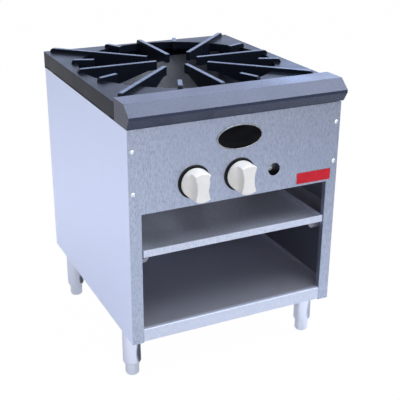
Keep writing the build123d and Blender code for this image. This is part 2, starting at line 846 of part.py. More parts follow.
# ---------------------------------------------------------------- controls and mixers
knob_back = -(bezel_thickness + knob_gap)
knob_face = knob_back - knob_length
for name, x in knob_positions.items():
    control_axis = Axis((x, y_front, control_height), (0, 1, 0))

    with BuildPart() as bezel:
        with BuildSketch(upright(0)):
            with Locations((x, control_height)):
                Circle(bezel_radius)
                Circle(stem_hole_radius, mode=Mode.SUBTRACT)
        extrude(amount=bezel_thickness, taper=bezel_taper)
    bezel.part.label = f"bezel_{name}"
    export_step(bezel.part, f"parts/bezel_{name}.step")

    with BuildPart() as knob:
        with BuildSketch(upright(knob_back)):
            with Locations((x, control_height)):
                Circle(knob_radius)
        extrude(amount=knob_length)
        # cut away at each side of the grip bar
        for side in (-1, 1):
            with BuildSketch(plan(control_height - knob_radius)):
                with BuildLine():
                    Polyline(
                        (x + side * knob_radius, knob_back - knob_rim),
                        (x + side * knob_shoulder, knob_back - knob_shoulder_length),
                        (x + side * knob_waist, knob_back - knob_waist_length),
                        (x + side * knob_bar_half_width, knob_face),
                        (x + side * knob_radius, knob_face),
                        close=True,
                    )
                make_face()
            extrude(amount=2 * knob_radius, mode=Mode.SUBTRACT)
        fillet(knob.faces().sort_by(Axis.Y)[0].edges(), radius=knob_edge_radius)
        # keyed hole for the stem
        with BuildSketch(upright(knob_back)):
            with Locations((x, control_height)):
                Circle(stem_radius + running_clearance)
            with Locations((x, control_height + 2 * stem_radius - stem_flat + running_clearance)):
                Rectangle(3 * stem_radius, 2 * stem_radius, mode=Mode.SUBTRACT)
        extrude(amount=stem_in_knob + fit_gap, mode=Mode.SUBTRACT)
    knob.part.label = f"knob_{name}"
    export_step(knob.part, f"parts/knob_{name}.step")

    with BuildPart() as valve_stem:
        with BuildSketch(upright(stem_rear)):
            with Locations((x, control_height)):
                Circle(stem_radius)
        extrude(amount=stem_rear - knob_back + stem_in_knob)
        # flat that keys the knob
        with BuildSketch(upright(knob_back)):
            with Locations((x, control_height + 2 * stem_radius - stem_flat)):
                Rectangle(3 * stem_radius, 2 * stem_radius)
        extrude(amount=stem_in_knob, mode=Mode.SUBTRACT)
    valve_stem.part.label = f"valve_stem_{name}"
    export_step(valve_stem.part, f"parts/valve_stem_{name}.step")

    with BuildPart() as gas_valve:
        with BuildSketch(section(x)):
            with BuildLine():
                Polyline(
                    (bonnet_front, control_height),
                    (bonnet_front, control_height + bonnet_radius),
                    (valve_front, control_height + bonnet_radius),
                    (valve_front, control_height + valve_radius),
                    (valve_rear, control_height + valve_radius),
                    (valve_rear, control_height + bonnet_radius),
                    (hood_base, control_height + bonnet_radius),
                    (hood_base, control_height),
                    close=True,
                )
            make_face()
        revolve(axis=control_axis)
        with BuildSketch(plan(boss_top)):
            with Locations((x, manifold_depth)):
                Circle(valve_foot_radius)
        extrude(amount=control_height - boss_top)
        with BuildSketch(upright(bonnet_front)):
            with Locations((x, control_height)):
                Circle(stem_radius + running_clearance)
        extrude(amount=-(stem_rear + fit_gap - bonnet_front), mode=Mode.SUBTRACT)
    gas_valve.part.label = f"gas_valve_{name}"
    export_step(gas_valve.part, f"parts/gas_valve_{name}.step")

    with BuildPart() as orifice_hood:
        with BuildSketch(upright(hood_base)):
            with Locations((x, control_height)):
                RegularPolygon(hood_hex_radius, 6)
        extrude(amount=-hood_hex)
        with BuildSketch(upright(hood_base)):
            with Locations((x, control_height)):
                Circle(hood_radius)
        extrude(amount=-(hood_tip - hood_base))
        chamfer(orifice_hood.faces().sort_by(Axis.Y)[-1].edges(), length=hood_tip_chamfer)
    orifice_hood.part.label = f"orifice_hood_{name}"
    export_step(orifice_hood.part, f"parts/orifice_hood_{name}.step")

    with BuildPart() as air_shutter:
        with BuildSketch(upright(mixer_front - fit_gap - shutter_thickness)):
            with Locations((x, control_height)):
                Circle(shutter_radius)
                Circle(mixer_boss_radius + running_clearance, mode=Mode.SUBTRACT)
                with PolarLocations(0, window_count):
                    SlotArc(
                        CenterArc((0, 0), window_radius, -window_arc / 2, window_arc),
                        window_width,
                        mode=Mode.SUBTRACT,
                    )
            with Locations((x, control_height + shutter_radius + shutter_tab / 3)):
                Rectangle(shutter_tab, shutter_tab)
        extrude(amount=-shutter_thickness)
    air_shutter.part.label = f"air_shutter_{name}"
    export_step(air_shutter.part, f"parts/air_shutter_{name}.step")


# ---------------------------------------------------------------- burner
def mixer_pipe(x, turn_depth, radius, top, mode=Mode.ADD):
    """Round run back from the bell and up under the ring."""
    with BuildLine(section(x)) as run:
        FilletPolyline(
            (bell_rear, control_height),
            (turn_depth, control_height),
            (turn_depth, top),
            radius=mixer_bend,
        )
    with BuildSketch(upright(bell_rear)) as profile:
        with Locations((x, control_height)):
            Circle(radius)
    sweep(profile.sketch, path=run.wire(), mode=mode)


def mixer(x, radius):
    """Mixing tube: a bell with air windows and a boss for the shutter, then a pipe up into a ring."""
    turn_depth = ring_depth - sqrt(radius**2 - x**2)
    bell_axis = Axis((x, y_front, control_height), (0, 1, 0))
    bell_shoulder = mixer_front + mixer_bell_length / 3
    mixer_pipe(x, turn_depth, mixer_radius, ring_bottom + mixer_rise)
    with BuildSketch(section(x)) as casting:
        with BuildLine():
            Polyline(
                (mixer_front - mixer_boss_length, control_height),
                (mixer_front - mixer_boss_length, control_height + mixer_boss_radius),
                (mixer_front, control_height + mixer_boss_radius),
                (mixer_front, control_height + mixer_bell_radius),
                (bell_shoulder, control_height + mixer_bell_radius),
                (bell_rear, control_height + mixer_radius),
                (bell_rear, control_height),
                close=True,
            )
        make_face()
    revolve(casting.sketch, axis=bell_axis)
    # bore of the bell and the pipe
    with BuildSketch(section(x)) as bore:
        with BuildLine():
            Polyline(
                (mixer_front + mixer_wall, control_height),
                (mixer_front + mixer_wall, control_height + mixer_bell_radius - mixer_wall),
                (bell_shoulder, control_height + mixer_bell_radius - mixer_wall),
                (bell_rear, control_height + mixer_radius - mixer_wall),
                (bell_rear, control_height),
                close=True,
            )
        make_face()
    revolve(bore.sketch, axis=bell_axis, mode=Mode.SUBTRACT)
    # the pipe's bore ends in the gas channel of the ring
    mixer_pipe(x, turn_depth, mixer_radius - mixer_wall, ring_bottom + 1.25 * ring_wall, Mode.SUBTRACT)
    # hole for the orifice hood, and the air windows round it
    with BuildSketch(upright(mixer_front - mixer_boss_length)) as hood_hole:
        with Locations((x, control_height)):
            Circle(hood_radius + hood_clearance)
    extrude(hood_hole.sketch, amount=-(mixer_boss_length + mixer_wall), mode=Mode.SUBTRACT)
    with BuildSketch(upright(mixer_front)) as windows:
        with Locations((x, control_height)):
            with PolarLocations(0, window_count):
                SlotArc(CenterArc((0, 0), window_radius, -window_arc / 2, window_arc), window_width)
    extrude(windows.sketch, amount=-mixer_wall, mode=Mode.SUBTRACT)


def burner_ring(radius, port_count):
    """Cast ring round the burner centre: bevelled crown, gas channel and radial flame ports."""
    outer = ring_depth + radius + ring_width / 2
    inner = outer - ring_width
    ring_axis = Axis((0, y_front + ring_depth, 0), (0, 0, 1))
    with BuildSketch(section(0)) as casting:
        with BuildLine():
            Polyline(
                (inner, ring_bottom),
                (inner, ring_top - ring_crown),
                (inner + ring_width / 4, ring_top),
                (outer - ring_width / 4, ring_top),
                (outer, ring_top - ring_crown),
                (outer, ring_bottom),
                close=True,
            )
        make_face()
    revolve(casting.sketch, axis=ring_axis)
    with BuildSketch(section(0)) as channel:
        with Locations((ring_depth + radius, (ring_bottom + ring_top) / 2)):
            Rectangle(ring_width - 2 * ring_wall, ring_height - 2 * ring_wall)
    revolve(channel.sketch, axis=ring_axis, mode=Mode.SUBTRACT)
    with BuildSketch(plan(ring_top)) as ports:
        with Locations((0, ring_depth)):
            with PolarLocations(radius, port_count):
                Rectangle(port_length, port_width)
    extrude(ports.sketch, amount=-ring_wall, mode=Mode.SUBTRACT)


with BuildPart() as burner_outer:
    burner_ring(outer_ring_radius, outer_port_count)
    burner_ring(middle_ring_radius, middle_port_count)
    # spokes between the outer and the middle ring
    with BuildSketch(plan(ring_bottom)):
        with Locations((0, ring_depth)):
            with PolarLocations((outer_ring_radius + middle_ring_radius) / 2, 4, start_angle=45):
                Rectangle(outer_ring_radius - middle_ring_radius - ring_width + ring_wall, spoke_width)
    extrude(amount=ring_height - ring_crown)
    mixer(knob_positions["left"], outer_ring_radius)
burner_outer.part.label = "burner_outer"
export_step(burner_outer.part, "parts/burner_outer.step")

with BuildPart() as burner_inner:
    burner_ring(inner_ring_radius, inner_port_count)
    mixer(knob_positions["right"], inner_ring_radius)
burner_inner.part.label = "burner_inner"
export_step(burner_inner.part, "parts/burner_inner.step")

with BuildPart() as burner_support_front:
    # upright web with a saddle for each mixing tube
    with BuildSketch(upright(support_depth)):
        with Locations((0, support_bottom + support_height / 2)):
            Rectangle(2 * support_half, support_height)
        for x in knob_positions.values():
            with Locations((x, control_height)):
                Circle(mixer_radius + fit_gap, mode=Mode.SUBTRACT)
            with Locations((x, control_height + support_height / 2)):
                Rectangle(2 * (mixer_radius + fit_gap), support_height, mode=Mode.SUBTRACT)
    extrude(amount=-support_thickness)
    with BuildSketch(plan(support_bottom)):
        with Locations((0, support_depth + support_flange / 2)):
            Rectangle(2 * support_half, support_flange)
    extrude(amount=support_thickness)
    for side in (-1, 1):
        with BuildSketch(plan(support_bottom)):
            with Locations(
                (side * (support_half - support_thickness / 2), support_depth + support_flange / 2)
            ):
                Rectangle(support_thickness, support_flange)
        extrude(amount=support_height)
    # clearance for the supply pipe
    with BuildSketch(upright(support_depth)):
        with Locations((supply_x, manifold_height)):
            Circle(pipe_radius + 2 * pipe_hole_gap)
    extrude(amount=-support_flange, mode=Mode.SUBTRACT)
burner_support_front.part.label = "burner_support_front"
export_step(burner_support_front.part, "parts/burner_support_front.step")

with BuildPart() as burner_support_rear:
    with BuildSketch(section(-support_half)):
        with BuildLine():
            Polyline(
                (rear_support_depth, rear_support_top),
                (rear_support_depth + rear_support_width, rear_support_top),
                (rear_support_depth + rear_support_width, rear_support_top - rear_support_width),
            )
            offset(amount=support_thickness, side=Side.RIGHT)
        make_face()
    extrude(amount=2 * support_half)
    with BuildSketch(plan(rear_support_top)):
        with Locations((0, (tongue_front + rear_support_depth) / 2)):
            Rectangle(tongue_width, rear_support_depth - tongue_front)
    extrude(amount=-support_thickness)
burner_support_rear.part.label = "burner_support_rear"
export_step(burner_support_rear.part, "parts/burner_support_rear.step")

# ---------------------------------------------------------------- pilot
with BuildPart() as pilot_valve:
    # die-cast block on a round foot
    with BuildSketch(plan(pilot_height - pilot_body_down)):
        with Locations(
            (
                sight_hole_x + (pilot_body_right - pilot_body_left) / 2,
                (pilot_body_front + pilot_body_rear) / 2,
            )
        ):
            Rectangle(pilot_body_left + pilot_body_right, pilot_body_rear - pilot_body_front)
    extrude(amount=pilot_body_down + pilot_body_up)
    with BuildSketch(plan(boss_top)):
        with Locations((sight_hole_x, manifold_depth)):
            Circle(pilot_foot_radius)
    extrude(amount=pilot_height - boss_top)
    with BuildSketch(upright(pilot_body_front)):
        with Locations((sight_hole_x, pilot_height)):
            Circle(pilot_screw_radius + running_clearance)
    extrude(amount=-(pilot_screw_length + fit_gap), mode=Mode.SUBTRACT)
pilot_valve.part.label = "pilot_valve"
export_step(pilot_valve.part, "parts/pilot_valve.step")

with BuildPart() as pilot_screw:
    with BuildSketch(upright(pilot_body_front)):
        with Locations((sight_hole_x, pilot_height)):
            Circle(pilot_screw_radius)
    extrude(amount=-pilot_screw_length)
    with BuildSketch(upright(pilot_body_front - fit_gap)):
        with Locations((sight_hole_x, pilot_height)):
            Circle(pilot_screw_head)
    extrude(amount=pilot_screw_radius)
    with BuildSketch(upright(pilot_body_front)):
        with Locations((sight_hole_x, pilot_height)):
            Circle(pilot_screw_radius)
    extrude(amount=pilot_screw_radius)
    with BuildSketch(upright(pilot_body_front - fit_gap - pilot_screw_radius)):
        with Locations((sight_hole_x, pilot_height)):
            Rectangle(4 * pilot_screw_radius, pilot_screw_radius / 3)
    extrude(amount=-pilot_screw_radius / 2, mode=Mode.SUBTRACT)
pilot_screw.part.label = "pilot_screw"
export_step(pilot_screw.part, "parts/pilot_screw.step")

with BuildPart() as pilot_tube:
    with BuildLine(section(sight_hole_x)):
        FilletPolyline(
            (pilot_body_rear, pilot_height),
            (support_depth - pilot_climb_front, pilot_height),
            (support_depth - pilot_climb_end, pilot_run_height),
            (pilot_tip_depth, pilot_run_height),
            (pilot_tip_depth, pilot_tip_bottom),
            radius=pilot_bend,
        )
    with BuildSketch(upright(pilot_body_rear)):
        with Locations((sight_hole_x, pilot_height)):
            Circle(pilot_tube_radius)
    sweep()
pilot_tube.part.label = "pilot_tube"
export_step(pilot_tube.part, "parts/pilot_tube.step")

with BuildPart() as pilot_burner:
    pilot_cap_bottom = (pilot_tip_bottom + pilot_tip_height) / 2
    with BuildSketch(plan(pilot_tip_bottom)):
        with Locations((sight_hole_x, pilot_tip_depth)):
            Circle(pilot_burner_radius)
    extrude(amount=pilot_cap_bottom - pilot_tip_bottom)
    with BuildSketch(plan(pilot_cap_bottom)):
        with Locations((sight_hole_x, pilot_tip_depth)):
            Circle(pilot_cap_radius)
    extrude(amount=pilot_tip_height - pilot_cap_bottom, taper=pilot_cap_taper)
pilot_burner.part.label = "pilot_burner"
export_step(pilot_burner.part, "parts/pilot_burner.step")

with BuildPart() as pilot_bracket:
    # arm beside the tube, up from the front support
    bracket_rear = support_depth + support_thickness
    bracket_left = sight_hole_x + 1.5 * pilot_tube_radius
    arm_bottom = support_bottom + support_thickness
    with BuildSketch(upright(bracket_rear)):
        with Locations((bracket_left + bracket_width / 2, (arm_bottom + bracket_top) / 2)):
            Rectangle(bracket_width, bracket_top - arm_bottom)
    extrude(amount=-sheet)
    # shelf that the tube comes up through
    shelf_left = sight_hole_x - 2 * pilot_tube_radius
    shelf_width = bracket_left + bracket_width - shelf_left
    shelf_length = pilot_tip_depth + 2 * pilot_tube_radius - bracket_rear
    with BuildSketch(plan(bracket_top)):
        with Locations((shelf_left + shelf_width / 2, bracket_rear + shelf_length / 2)):
            Rectangle(shelf_width, shelf_length)
        with Locations((sight_hole_x, pilot_tip_depth)):
            Circle(pilot_tube_radius + fit_gap, mode=Mode.SUBTRACT)
    extrude(amount=sheet)
pilot_bracket.part.label = "pilot_bracket"
export_step(pilot_bracket.part, "parts/pilot_bracket.step")

# ---------------------------------------------------------------- screws and plates
with BuildPart() as panel_screws:
    for side in (-1, 1):
        for height in panel_screw_heights:
            with BuildSketch(upright(0)):
                with Locations((side * (half_width - panel_screw_inset), height)):
                    Circle(dome_radius)
            extrude(amount=dome_height, taper=dome_taper)
            with BuildSketch(upright(0)):
                with Locations((side * (half_width - panel_screw_inset), height)):
                    Circle(screw_radius)
            extrude(amount=-screw_length)
panel_screws.part.label = "panel_screws"
export_step(panel_screws.part, "parts/panel_screws.step")

with BuildPart() as back_screws:
    for side in (-1, 1):
        for height in back_screw_heights:
            with BuildSketch(upright(body_depth)):
                with Locations((side * (half_width - back_screw_inset), height)):
                    RegularPolygon(screw_head_radius, 6)
            extrude(amount=-screw_radius)
            with BuildSketch(upright(body_depth)):
                with Locations((side * (half_width - back_screw_inset), height)):
                    Circle(screw_radius)
            extrude(amount=screw_length)
back_screws.part.label = "back_screws"
export_step(back_screws.part, "parts/back_screws.step")

with BuildPart() as oval_badge:
    with BuildSketch(upright(0)):
        with Locations((0, badge_centre_height)):
            Ellipse(badge_width / 2 - badge_rim, badge_height / 2 - badge_rim)
    extrude(amount=badge_thickness / 2)
oval_badge.part.label = "oval_badge"
export_step(oval_badge.part, "parts/oval_badge.step")

with BuildPart() as badge_rim_ring:
    with BuildSketch(upright(0)):
        with Locations((0, badge_centre_height)):
            Ellipse(badge_width / 2, badge_height / 2)
            Ellipse(badge_width / 2 - badge_rim, badge_height / 2 - badge_rim, mode=Mode.SUBTRACT)
    extrude(amount=badge_thickness)
badge_rim_ring.part.label = "badge_rim_ring"
export_step(badge_rim_ring.part, "parts/badge_rim_ring.step")

with BuildPart() as red_strip:
    with BuildSketch(upright(0)):
        with Locations((strip_x, strip_centre_height)):
            RectangleRounded(strip_width, strip_height, strip_corner)
    extrude(amount=strip_thickness)
red_strip.part.label = "red_strip"
export_step(red_strip.part, "parts/red_strip.step")
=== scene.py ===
from math import cos, pi, radians, sin

import bmesh
import bpy
from mathutils import Matrix, Vector


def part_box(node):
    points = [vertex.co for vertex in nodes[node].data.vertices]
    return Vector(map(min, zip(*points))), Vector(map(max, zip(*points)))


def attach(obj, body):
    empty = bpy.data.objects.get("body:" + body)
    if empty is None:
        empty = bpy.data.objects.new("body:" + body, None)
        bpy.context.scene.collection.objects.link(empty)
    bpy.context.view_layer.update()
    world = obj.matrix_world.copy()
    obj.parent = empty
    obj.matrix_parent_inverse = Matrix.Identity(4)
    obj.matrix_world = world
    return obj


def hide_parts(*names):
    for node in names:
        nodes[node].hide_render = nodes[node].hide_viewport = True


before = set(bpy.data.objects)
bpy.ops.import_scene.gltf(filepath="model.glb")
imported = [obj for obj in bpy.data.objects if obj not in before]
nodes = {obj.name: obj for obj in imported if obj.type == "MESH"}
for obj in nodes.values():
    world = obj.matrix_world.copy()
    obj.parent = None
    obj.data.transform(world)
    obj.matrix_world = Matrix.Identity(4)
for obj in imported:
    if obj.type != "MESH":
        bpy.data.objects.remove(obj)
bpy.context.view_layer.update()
bpy.ops.object.select_all(action="DESELECT")
print("frame loaded:", len(nodes), "pieces")

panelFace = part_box("front_panel")[0].y  # y of the control panel's front
near = 0.0001  # points this close lie on the same line


# camera, as the photo was taken
cameraValues = {
    "place": (-0.72575, panelFace - 1.32051, 1.00983),
    "azimuth": 25.94,  # angles in degrees
    "elevation": 22.76,
    "roll": 0.39,
    "lens": 74.83,
    "reach": 30,
}


def addCamera(values):
    azimuth, elevation, roll = (radians(values[key]) for key in ("azimuth", "elevation", "roll"))
    look = Vector((sin(azimuth) * cos(elevation), cos(azimuth) * cos(elevation), -sin(elevation)))
    right = Vector((cos(azimuth), -sin(azimuth), 0))
    up = right.cross(look)
    sideways = right * cos(roll) + up * sin(roll)
    upward = up * cos(roll) - right * sin(roll)
    camera = bpy.data.objects.new("photoCamera", bpy.data.cameras.new("photoCamera"))
    camera.matrix_world = Matrix.Translation(values["place"]) @ Matrix(
        (sideways, upward, -look)).transposed().to_4x4()
    camera.data.lens = values["lens"]
    camera.data.clip_end = values["reach"]
    bpy.context.scene.collection.objects.link(camera)
    bpy.context.scene.camera = camera


addCamera(cameraValues)
print("camera placed")


# material building blocks
def addNode(tree, kind, inputs=None, **settings):
    made = tree.nodes.new(kind)
    for name, value in settings.items():
        setattr(made, name, value)
    for name, value in (inputs or {}).items():
        if isinstance(value, bpy.types.NodeSocket):
            tree.links.new(value, made.inputs[name])
        else:
            made.inputs[name].default_value = value
    return made


def newMaterial(name):
    material = bpy.data.materials.new(name)
    material.use_nodes = True
    tree = material.node_tree
    return material, tree, tree.nodes["Principled BSDF"]


def maths(tree, operation, first, second=0):
    return addNode(tree, "ShaderNodeMath", {0: first, 1: second}, operation=operation).outputs[0]


def objectPlace(tree):
    return addNode(tree, "ShaderNodeTexCoord").outputs["Object"]


def noise(tree, scale, detail, rough, seed=0.0):
    if not isinstance(scale, tuple):
        scale = (scale, scale, scale)
    mapped = addNode(tree, "ShaderNodeMapping", {"Vector": objectPlace(tree), "Scale": scale}).outputs[0]
    moved = addNode(tree, "ShaderNodeVectorMath", {0: mapped, 1: (seed, seed, seed)},
                    operation="ADD").outputs[0]
    return addNode(tree, "ShaderNodeTexNoise", {"Vector": moved, "Scale": 1.0, "Detail": detail,
                                                "Roughness": rough}).outputs["Fac"]


def spread(tree, value, low, high, fromLow=0.3, fromHigh=0.7):  # stretches a range over another
    return addNode(tree, "ShaderNodeMapRange", {"Value": value, "From Min": fromLow, "From Max": fromHigh,
                                                "To Min": low, "To Max": high}).outputs["Result"]


def mixColour(tree, factor, first, second, blend="MIX"):
    made = addNode(tree, "ShaderNodeMix", data_type="RGBA", blend_type=blend)
    for socket, value in ((0, factor), (6, first), (7, second)):
        if isinstance(value, bpy.types.NodeSocket):
            tree.links.new(value, made.inputs[socket])
        elif socket:
            made.inputs[socket].default_value = (*value, 1)
        else:
            made.inputs[socket].default_value = value
    return made.outputs[2]


def bump(tree, shader, height, distance):
    made = addNode(tree, "ShaderNodeBump", {"Height": height, "Distance": distance, "Strength": 1.0})
    tree.links.new(made.outputs["Normal"], shader.inputs["Normal"])


# finishes
def sheetSteel(name, look):  # rolled sheet: fine streaks along the grain, soft clouds, a little speckle
    material, tree, shader = newMaterial(name)
    streak = noise(tree, look["streakScale"], detail=4, rough=0.6)
    cloud = noise(tree, look["cloudScale"], detail=2, rough=0.5, seed=7.0)
    speckle = noise(tree, look["speckleScale"], detail=2, rough=0.5, seed=3.0)
    base = mixColour(tree, spread(tree, streak, 0, 1, *look["contrast"]), look["dark"], look["light"])
    glinting = spread(tree, speckle, 0, look["speckle"], *look["glintFrom"])
    base = mixColour(tree, glinting, base, look["glint"])
    base = mixColour(tree, spread(tree, cloud, 0, look["cloud"]), base, look["stain"])
    # painted shade: the face that looks into the cabinet is darkened, and the top flange under the casting is
    # darkened to a painted shadow
    if "shadeInside" in look:
        place = addNode(tree, "ShaderNodeSeparateXYZ", {0: objectPlace(tree)}).outputs
        inside = spread(tree, maths(tree, "ABSOLUTE", place["X"]), 1, 0, *look["shadeInside"])
        base = mixColour(tree, inside, base, look["paintedShade"], "MULTIPLY")
        above = spread(tree, place["Z"], 0, 1, *look["shadowAbove"])
        base = mixColour(tree, above, base, look["paintedShadow"], "MULTIPLY")
    # painted shade behind the panel's face, fading with depth into the tone far back, which lightens the back
    # as painted light where it is above 1
    if "shadeBehind" in look:
        place = addNode(tree, "ShaderNodeSeparateXYZ", {0: objectPlace(tree)}).outputs["Y"]
        behind = spread(tree, place, 0, 1, panelFace + look["shadeBehind"][0], panelFace + look["shadeBehind"][1])
        deep = spread(tree, place, 0, 1, panelFace + look["farFrom"][0], panelFace + look["farFrom"][1])
        shade = mixColour(tree, deep, look["paintedShade"], look["paintedToneFar"])
        base = mixColour(tree, behind, base, shade, "MULTIPLY")
    tree.links.new(base, shader.inputs["Base Color"])
    tree.links.new(spread(tree, streak, *look["roughness"]), shader.inputs["Roughness"])
    shader.inputs["Metallic"].default_value = look["metallic"]
    bump(tree, shader, streak, look["depth"])
    return material


def castIron(name, look):  # rough casting under a thin dark coat, rubbed bright where it stands highest, with a painted highlight laid on the same tops
    material, tree, shader = newMaterial(name)
    grain = noise(tree, look["grain"], detail=5, rough=0.6)
    cloud = noise(tree, 14, detail=3, rough=0.5, seed=3.0)
    base = mixColour(tree, spread(tree, grain, 0, 1), look["dark"], look["light"])
    base = mixColour(tree, spread(tree, cloud, 0, look["cloud"]), base, look["stain"])
    rough = spread(tree, cloud, *look["roughness"])
    # wear and painted highlight: the highest tops are lightened to bare metal and a bluish painted sheen
    if "wearAndSheenFrom" in look:
        height = addNode(tree, "ShaderNodeSeparateXYZ", {0: objectPlace(tree)}).outputs["Z"]
        rubbedAndSheen = spread(tree, height, 0, 1, look["wearAndSheenFrom"], look["wearAndSheenTo"])
        patchy = noise(tree, 60, detail=3, rough=0.6, seed=11.0)
        rubbedAndSheen = maths(tree, "MULTIPLY", rubbedAndSheen, spread(tree, patchy, look["wearAndSheenLeast"], 1))
        base = mixColour(tree, rubbedAndSheen, base, look["bareAndSheen"])
        rough = maths(tree, "SUBTRACT", rough, maths(tree, "MULTIPLY", rubbedAndSheen, look["wearPolish"]))
    tree.links.new(base, shader.inputs["Base Color"])
    tree.links.new(rough, shader.inputs["Roughness"])
    shader.inputs["IOR"].default_value = look["ior"]
    shader.inputs["Metallic"].default_value = look.get("metallic", 0)
    bump(tree, shader, grain, look["depth"])
    return material


def smoothFinish(name, look):  # moulded, enamelled or turned surfaces
    material, tree, shader = newMaterial(name)
    cloud = noise(tree, look["scale"], detail=3, rough=0.5)
    base = mixColour(tree, spread(tree, cloud, 0, 1), look["dark"], look["light"])
    tree.links.new(base, shader.inputs["Base Color"])
    tree.links.new(spread(tree, cloud, *look["roughness"]), shader.inputs["Roughness"])
    shader.inputs["Metallic"].default_value = look.get("metallic", 0)
    shader.inputs["IOR"].default_value = look.get("ior", 1.5)
    bump(tree, shader, cloud, 0.00001)
    return material


steelLook = {
    "light": (0.47, 0.51, 0.63), "dark": (0.30, 0.335, 0.44), "stain": (0.36, 0.41, 0.55), "cloud": 0.45,
    "glint": (0.64, 0.68, 0.78), "glintFrom": (0.5, 0.72), "speckle": 0.35, "speckleScale": (700, 700, 260),
    "contrast": (0.36, 0.64),
    "streakScale": (400, 400, 110), "cloudScale": (9, 9, 9),
    "roughness": (0.28, 0.40), "metallic": 0.88, "depth": 0.00006,
}
# the side panels are the front panel's stainless with a far lighter, bluer base: painted light for the
# brighter reflection the sides catch
sidePaintedLightLook = dict(steelLook, light=(0.725, 0.79, 1.0), dark=(0.70, 0.765, 0.99), stain=(0.69, 0.76, 0.99),
                glint=(0.71, 0.775, 0.99), streakScale=(160, 160, 900), roughness=(0.34, 0.40), depth=0.00001,
                # painted shade on the face that looks in, and a painted shadow under the casting
                shadeInside=(0.2278, 0.2284), paintedShade=(0.34, 0.32, 0.30),
                shadowAbove=(0.5517, 0.5522), paintedShadow=(0.02, 0.02, 0.02))
innerLook = dict(steelLook, light=(0.40, 0.41, 0.46), dark=(0.28, 0.29, 0.33), stain=(0.34, 0.35, 0.40),
                 glint=(0.60, 0.62, 0.68), speckle=0.5, speckleScale=(420, 420, 420), metallic=0.3,
                 streakScale=(300, 300, 300), roughness=(0.40, 0.55), depth=0.00008)
trimLook = dict(steelLook, light=(0.62, 0.66, 0.78), dark=(0.52, 0.56, 0.68), stain=(0.58, 0.62, 0.76),
                roughness=(0.32, 0.42), depth=0.00003, metallic=0.35,
                # painted shade behind the panel's face, easing with depth to the tone far back, which is
                # painted light where it is above 1, and at what distances they set in
                shadeBehind=(0.004, 0.012), paintedShade=(0.50, 0.47, 0.455),
                farFrom=(0.02, 0.35), paintedToneFar=(1.15, 1.1, 1.08))
trayLook = dict(trimLook, paintedShade=(1.0, 0.98, 0.98), paintedToneFar=(1.0, 0.98, 0.98), shadeBehind=(0.002, 0.006),
                speckleScale=(380, 380, 380), glint=(0.95, 0.97, 1.0), speckle=0.4, dark=(0.46, 0.50, 0.62))
legLook = dict(steelLook, light=(0.72, 0.76, 0.88), dark=(0.66, 0.70, 0.83), stain=(0.68, 0.72, 0.86),
               glint=(0.75, 0.79, 0.9), streakScale=(90, 90, 1400), roughness=(0.12, 0.18), metallic=1.0,
               depth=0.00001)
castLook = {
    "light": (0.011, 0.014, 0.024), "dark": (0.003, 0.004, 0.007), "stain": (0.006, 0.008, 0.014),
    "cloud": 0.5, "grain": 900, "roughness": (0.24, 0.32), "ior": 1.15, "depth": 0.00005,
    # bare metal, and a painted bluish highlight, over this range of heights: the tops of the fingers
    "wearAndSheenFrom": 0.5968, "wearAndSheenTo": 0.5979, "wearAndSheenLeast": 0.55, "bareAndSheen": (0.13, 0.165, 0.25), "wearPolish": 0.04,
}
railLook = {
    "light": (0.046, 0.058, 0.110), "dark": (0.012, 0.017, 0.036), "stain": (0.026, 0.034, 0.066),
    "cloud": 0.4, "grain": 600, "roughness": (0.24, 0.34), "ior": 1.44, "depth": 0.00012, "metallic": 0.25,
}
ironLook = {
    "light": (0.060, 0.058, 0.060), "dark": (0.030, 0.028, 0.028), "stain": (0.070, 0.052, 0.040),
    "cloud": 0.5, "grain": 900, "roughness": (0.5, 0.7), "ior": 1.4, "depth": 0.00006,
}

steel = sheetSteel("brushedSheet", steelLook)
sidePaintedLightSteel = sheetSteel("sideSheetPaintedLight", sidePaintedLightLook)
innerSteel = sheetSteel("innerSheet", innerLook)
trimSteel = sheetSteel("trimSheet", trimLook)
traySteel = sheetSteel("traySheet", trayLook)
legSteel = sheetSteel("legTube", legLook)
cast = castIron("castTop", castLook)
railCoat = castIron("railCoat", railLook)
iron = castIron("burnerIron", ironLook)
whiteKnob = smoothFinish("knobWhite", {"light": (0.80, 0.77, 0.74), "dark": (0.76, 0.73, 0.69), "scale": 60,
                                       "roughness": (0.30, 0.40)})
blackPlasticAndShade = smoothFinish("bezelBlackAndShade", {"light": (0.012, 0.012, 0.014), "dark": (0.006, 0.006, 0.007),
                                           "scale": 90, "roughness": (0.35, 0.5), "ior": 1.3})
badgeBlack = smoothFinish("badgeGloss", {"light": (0.005, 0.005, 0.006), "dark": (0.002, 0.002, 0.003),
                                         "scale": 50, "roughness": (0.12, 0.18), "ior": 1.16})
redEnamel = smoothFinish("redEnamel", {"light": (0.58, 0.010, 0.024), "dark": (0.50, 0.008, 0.019),
                                       "scale": 80, "roughness": (0.32, 0.42), "ior": 1.3})
brightRim = smoothFinish("brightRim", {"light": (0.42, 0.43, 0.46), "dark": (0.30, 0.31, 0.34), "scale": 200,
                                       "roughness": (0.22, 0.30), "metallic": 1.0})
fixing = smoothFinish("fixingSteel", {"light": (0.80, 0.82, 0.88), "dark": (0.68, 0.70, 0.76), "scale": 300,
                                      "roughness": (0.16, 0.26), "metallic": 1.0})
brass = smoothFinish("turnedBrass", {"light": (0.62, 0.44, 0.17), "dark": (0.48, 0.33, 0.12), "scale": 220,
                                     "roughness": (0.26, 0.38), "metallic": 1.0})
drawnTube = smoothFinish("drawnTube", {"light": (0.70, 0.71, 0.73), "dark": (0.58, 0.59, 0.62), "scale": 150,
                                       "roughness": (0.25, 0.36), "metallic": 1.0})

